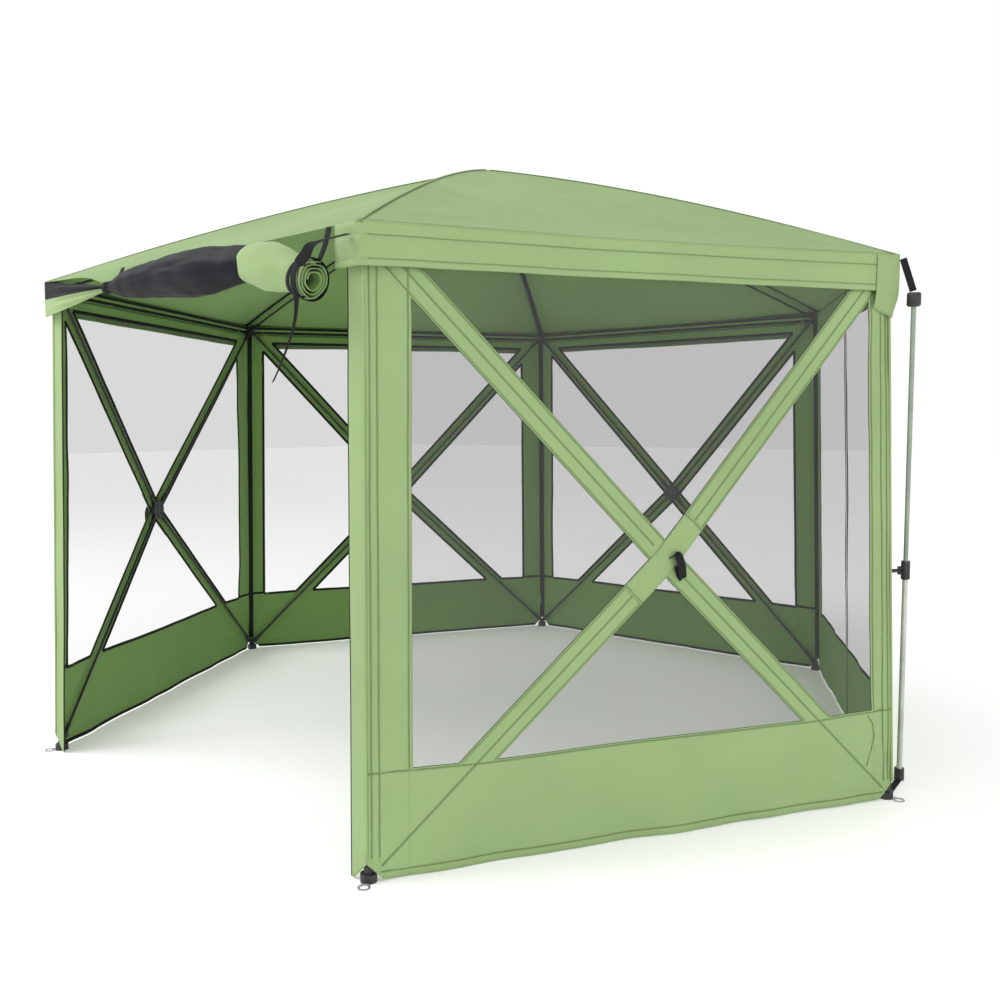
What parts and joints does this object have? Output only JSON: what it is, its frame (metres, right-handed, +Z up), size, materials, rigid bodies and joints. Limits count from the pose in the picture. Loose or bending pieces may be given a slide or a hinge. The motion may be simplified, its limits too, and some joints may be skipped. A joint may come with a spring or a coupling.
{
  "type": "screen house",
  "caption": "Hexagonal pop-up screen house with mesh walls, a peaked canopy on hubbed flexible poles, a rolled-up door, a zipped door and a propping pole.",
  "frame": {"origin": "on the ground under the middle of the canopy", "axes": "+Z up; the open doorway faces -Y; corners lie at 0, 60, 120, 180, 240 and 300 degrees from +X, and the propping pole stands beside the +X corner"},
  "size_m": [3.708, 3.3058, 2.3862],
  "materials": {
    "pole": "black fibreglass rod with a satin coat and moulded ends",
    "hub": "black moulded nylon",
    "bracket": "black moulded nylon",
    "webbing": "black woven webbing",
    "cloth": "pale green coated polyester cloth, sewn",
    "mesh": "pale grey fine insect mesh",
    "canopy": "pale green coated polyester cloth, sewn in gores",
    "zip": "black coil zip tape",
    "zip_metal": "black painted zinc slider",
    "roll": "charcoal mesh and cloth, rolled",
    "pin": "bright steel pins",
    "ring": "zinc-plated steel rings with webbing",
    "prop_upper": "grey-green painted steel tube",
    "prop_lower": "silver-grey painted steel tube",
    "prop_plastic": "black moulded nylon"
  },
  "bodies": {
    "root": {"wall_cloth_front_right": "cloth", "wall_mesh_front_right": "mesh", "wall_cloth_back": "cloth", "wall_mesh_back": "mesh", "wall_cloth_back_left": "cloth", "wall_mesh_back_left": "mesh", "wall_cloth_front_left": "cloth", "wall_mesh_front_left": "mesh", "corner_brackets": "bracket", "corner_boots": "bracket", "corner_pins": "pin", "peg_rings": "ring", "door_cloth": "cloth", "door_mesh": "mesh", "door_zip_tape": "zip", "doorway_jambs": "cloth", "rolled_door": "roll", "rolled_door_ties": "webbing", "canopy": "canopy", "valance": "cloth", "prop_sleeve": "prop_lower", "prop_clamp": "prop_plastic", "prop_foot": "prop_plastic", "prop_foot_strap": "webbing"},
    "hub_front_right_body": {"hub_front_right": "hub", "pull_tab_front_right": "webbing"},
    "pole_front_right_upper_left_body": {"pole_front_right_upper_left": "pole"},
    "pole_front_right_lower_left_body": {"pole_front_right_lower_left": "pole"},
    "pole_front_right_upper_right_body": {"pole_front_right_upper_right": "pole"},
    "pole_front_right_lower_right_body": {"pole_front_right_lower_right": "pole"},
    "hub_back_body": {"hub_back": "hub", "pull_tab_back": "webbing"},
    "pole_back_upper_left_body": {"pole_back_upper_left": "pole"},
    "pole_back_lower_left_body": {"pole_back_lower_left": "pole"},
    "pole_back_upper_right_body": {"pole_back_upper_right": "pole"},
    "pole_back_lower_right_body": {"pole_back_lower_right": "pole"},
    "hub_back_left_body": {"hub_back_left": "hub", "pull_tab_back_left": "webbing"},
    "pole_back_left_upper_left_body": {"pole_back_left_upper_left": "pole"},
    "pole_back_left_lower_left_body": {"pole_back_left_lower_left": "pole"},
    "pole_back_left_upper_right_body": {"pole_back_left_upper_right": "pole"},
    "pole_back_left_lower_right_body": {"pole_back_left_lower_right": "pole"},
    "hub_front_left_body": {"hub_front_left": "hub", "pull_tab_front_left": "webbing"},
    "pole_front_left_upper_left_body": {"pole_front_left_upper_left": "pole"},
    "pole_front_left_lower_left_body": {"pole_front_left_lower_left": "pole"},
    "pole_front_left_upper_right_body": {"pole_front_left_upper_right": "pole"},
    "pole_front_left_lower_right_body": {"pole_front_left_lower_right": "pole"},
    "roof_hub_body": {"roof_hub": "hub"},
    "roof_pole_front_left_body": {"roof_pole_front_left": "pole"},
    "roof_pole_front_right_body": {"roof_pole_front_right": "pole"},
    "roof_pole_right_body": {"roof_pole_right": "pole"},
    "roof_pole_back_right_body": {"roof_pole_back_right": "pole"},
    "roof_pole_back_left_body": {"roof_pole_back_left": "pole"},
    "roof_pole_left_body": {"roof_pole_left": "pole"},
    "prop_upper": {"prop_tube": "prop_upper", "prop_head": "prop_plastic", "prop_head_strap": "webbing"},
    "prop_lever_body": {"prop_lever": "prop_plastic"},
    "zip_slider_body": {"door_zip_slider": "zip_metal"}
  },
  "joints": [
    {"name": "pop_front_right", "type": "slide", "parent": "root", "child": "hub_front_right_body", "axis": [0.8657, -0.4998, 0.0262], "range_m": [-0.16, 0], "deforming": ["wall_cloth_front_right", "wall_mesh_front_right"]},
    {"name": "swing_pole_front_right_upper_left", "type": "hinge", "parent": "root", "child": "pole_front_right_upper_left_body", "pos_m": [0.88043, -1.48196, 1.77029], "axis": [-0.3496, -0.6412, -0.6831], "range_deg": [-7.68, 0.05]},
    {"name": "swing_pole_front_right_lower_left", "type": "hinge", "parent": "root", "child": "pole_front_right_lower_left_body", "pos_m": [0.90685, -1.52624, 0.05329], "axis": [0.3591, 0.5838, -0.7282], "range_deg": [-7.95, 0.05]},
    {"name": "swing_pole_front_right_upper_right", "type": "hinge", "parent": "root", "child": "pole_front_right_upper_right_body", "pos_m": [1.72363, -0.0215, 1.77029], "axis": [-0.3805, -0.6234, 0.6831], "range_deg": [-7.68, 0.05]},
    {"name": "swing_pole_front_right_lower_right", "type": "hinge", "parent": "root", "child": "pole_front_right_lower_right_body", "pos_m": [1.77518, -0.02224, 0.05329], "axis": [0.326, 0.6028, 0.7282], "range_deg": [-7.95, 0.05]},
    {"name": "pop_back", "type": "slide", "parent": "root", "child": "hub_back_body", "axis": [0, 0.9997, 0.0262], "range_m": [-0.16, 0], "deforming": ["wall_cloth_back", "wall_mesh_back"]},
    {"name": "swing_pole_back_upper_left", "type": "hinge", "parent": "root", "child": "pole_back_upper_left_body", "pos_m": [0.84319, 1.50346, 1.77029], "axis": [0.7301, 0.0179, -0.6831], "range_deg": [-7.68, 0.05]},
    {"name": "swing_pole_back_lower_left", "type": "hinge", "parent": "root", "child": "pole_back_lower_left_body", "pos_m": [0.86833, 1.54847, 0.05329], "axis": [-0.6851, 0.0191, -0.7282], "range_deg": [-7.95, 0.05]},
    {"name": "swing_pole_back_upper_right", "type": "hinge", "parent": "root", "child": "pole_back_upper_right_body", "pos_m": [-0.84319, 1.50346, 1.77029], "axis": [0.7301, -0.0179, 0.6831], "range_deg": [-7.68, 0.05]},
    {"name": "swing_pole_back_lower_right", "type": "hinge", "parent": "root", "child": "pole_back_lower_right_body", "pos_m": [-0.86833, 1.54847, 0.05329], "axis": [-0.6851, -0.0191, 0.7282], "range_deg": [-7.95, 0.05]},
    {"name": "pop_back_left", "type": "slide", "parent": "root", "child": "hub_back_left_body", "axis": [-0.8657, 0.4998, 0.0262], "range_m": [-0.16, 0], "deforming": ["wall_cloth_back_left", "wall_mesh_back_left"]},
    {"name": "swing_pole_back_left_upper_left", "type": "hinge", "parent": "root", "child": "pole_back_left_upper_left_body", "pos_m": [-0.88043, 1.48196, 1.77029], "axis": [0.3496, 0.6412, -0.6831], "range_deg": [-7.68, 0.05]},
    {"name": "swing_pole_back_left_lower_left", "type": "hinge", "parent": "root", "child": "pole_back_left_lower_left_body", "pos_m": [-0.90685, 1.52624, 0.05329], "axis": [-0.3591, -0.5838, -0.7282], "range_deg": [-7.95, 0.05]},
    {"name": "swing_pole_back_left_upper_right", "type": "hinge", "parent": "root", "child": "pole_back_left_upper_right_body", "pos_m": [-1.72363, 0.0215, 1.77029], "axis": [0.3805, 0.6234, 0.6831], "range_deg": [-7.68, 0.05]},
    {"name": "swing_pole_back_left_lower_right", "type": "hinge", "parent": "root", "child": "pole_back_left_lower_right_body", "pos_m": [-1.77518, 0.02224, 0.05329], "axis": [-0.326, -0.6028, 0.7282], "range_deg": [-7.95, 0.05]},
    {"name": "pop_front_left", "type": "slide", "parent": "root", "child": "hub_front_left_body", "axis": [-0.8657, -0.4998, 0.0262], "range_m": [-0.16, 0], "deforming": ["wall_cloth_front_left", "wall_mesh_front_left"]},
    {"name": "swing_pole_front_left_upper_left", "type": "hinge", "parent": "root", "child": "pole_front_left_upper_left_body", "pos_m": [-1.72363, -0.0215, 1.77029], "axis": [-0.3805, 0.6234, -0.6831], "range_deg": [-7.68, 0.05]},
    {"name": "swing_pole_front_left_lower_left", "type": "hinge", "parent": "root", "child": "pole_front_left_lower_left_body", "pos_m": [-1.77518, -0.02224, 0.05329], "axis": [0.326, -0.6028, -0.7282], "range_deg": [-7.95, 0.05]},
    {"name": "swing_pole_front_left_upper_right", "type": "hinge", "parent": "root", "child": "pole_front_left_upper_right_body", "pos_m": [-0.88043, -1.48196, 1.77029], "axis": [-0.3496, 0.6412, 0.6831], "range_deg": [-7.68, 0.05]},
    {"name": "swing_pole_front_left_lower_right", "type": "hinge", "parent": "root", "child": "pole_front_left_lower_right_body", "pos_m": [-0.90685, -1.52624, 0.05329], "axis": [0.3591, -0.5838, 0.7282], "range_deg": [-7.95, 0.05]},
    {"name": "draw_roof_hub", "type": "slide", "parent": "root", "child": "roof_hub_body", "axis": [0, 0, 1], "range_m": [-0.1, 0], "deforming": ["canopy"]},
    {"name": "swing_roof_pole_front_left", "type": "hinge", "parent": "root", "child": "roof_pole_front_left_body", "pos_m": [-0.85022, -1.47262, 1.80554], "axis": [0.866, -0.5, 0], "range_deg": [-3.27, 0.05]},
    {"name": "swing_roof_pole_front_right", "type": "hinge", "parent": "root", "child": "roof_pole_front_right_body", "pos_m": [0.85022, -1.47262, 1.80554], "axis": [0.866, 0.5, 0], "range_deg": [-3.27, 0.05]},
    {"name": "swing_roof_pole_right", "type": "hinge", "parent": "root", "child": "roof_pole_right_body", "pos_m": [1.70043, 0, 1.80554], "axis": [0, 1, 0], "range_deg": [-3.27, 0.05]},
    {"name": "swing_roof_pole_back_right", "type": "hinge", "parent": "root", "child": "roof_pole_back_right_body", "pos_m": [0.85022, 1.47262, 1.80554], "axis": [-0.866, 0.5, 0], "range_deg": [-3.27, 0.05]},
    {"name": "swing_roof_pole_back_left", "type": "hinge", "parent": "root", "child": "roof_pole_back_left_body", "pos_m": [-0.85022, 1.47262, 1.80554], "axis": [-0.866, -0.5, 0], "range_deg": [-3.27, 0.05]},
    {"name": "swing_roof_pole_left", "type": "hinge", "parent": "root", "child": "roof_pole_left_body", "pos_m": [-1.70043, 0, 1.80554], "axis": [0, -1, 0], "range_deg": [-3.27, 0.05]},
    {"name": "prop_slide", "type": "slide", "parent": "root", "child": "prop_upper", "axis": [0.0441, -0.1233, 0.9914], "range_m": [-0.645, 0]},
    {"name": "prop_lever_swing", "type": "hinge", "parent": "root", "child": "prop_lever_body", "pos_m": [1.78113, 0.09549, 0.76827], "axis": [0.0441, -0.1233, 0.9914], "range_deg": [0, 100]},
    {"name": "door_zip", "type": "slide", "parent": "root", "child": "zip_slider_body", "axis": [-0.0227, -0.0131, 0.9997], "range_m": [0, 1.62]}
  ],
  "couplings": [
    {"joint": "swing_pole_front_right_upper_left", "follows": "pop_front_right", "rad_per_m": 0.83212},
    {"joint": "swing_pole_front_right_lower_left", "follows": "pop_front_right", "rad_per_m": 0.86217},
    {"joint": "swing_pole_front_right_upper_right", "follows": "pop_front_right", "rad_per_m": 0.83212},
    {"joint": "swing_pole_front_right_lower_right", "follows": "pop_front_right", "rad_per_m": 0.86217},
    {"joint": "swing_pole_back_upper_left", "follows": "pop_back", "rad_per_m": 0.83212},
    {"joint": "swing_pole_back_lower_left", "follows": "pop_back", "rad_per_m": 0.86217},
    {"joint": "swing_pole_back_upper_right", "follows": "pop_back", "rad_per_m": 0.83212},
    {"joint": "swing_pole_back_lower_right", "follows": "pop_back", "rad_per_m": 0.86217},
    {"joint": "swing_pole_back_left_upper_left", "follows": "pop_back_left", "rad_per_m": 0.83212},
    {"joint": "swing_pole_back_left_lower_left", "follows": "pop_back_left", "rad_per_m": 0.86217},
    {"joint": "swing_pole_back_left_upper_right", "follows": "pop_back_left", "rad_per_m": 0.83212},
    {"joint": "swing_pole_back_left_lower_right", "follows": "pop_back_left", "rad_per_m": 0.86217},
    {"joint": "swing_pole_front_left_upper_left", "follows": "pop_front_left", "rad_per_m": 0.83212},
    {"joint": "swing_pole_front_left_lower_left", "follows": "pop_front_left", "rad_per_m": 0.86217},
    {"joint": "swing_pole_front_left_upper_right", "follows": "pop_front_left", "rad_per_m": 0.83212},
    {"joint": "swing_pole_front_left_lower_right", "follows": "pop_front_left", "rad_per_m": 0.86217},
    {"joint": "swing_roof_pole_front_left", "follows": "draw_roof_hub", "rad_per_m": 0.56116},
    {"joint": "swing_roof_pole_front_right", "follows": "draw_roof_hub", "rad_per_m": 0.56116},
    {"joint": "swing_roof_pole_right", "follows": "draw_roof_hub", "rad_per_m": 0.56116},
    {"joint": "swing_roof_pole_back_right", "follows": "draw_roof_hub", "rad_per_m": 0.56116},
    {"joint": "swing_roof_pole_back_left", "follows": "draw_roof_hub", "rad_per_m": 0.56116},
    {"joint": "swing_roof_pole_left", "follows": "draw_roof_hub", "rad_per_m": 0.56116}
  ]
}
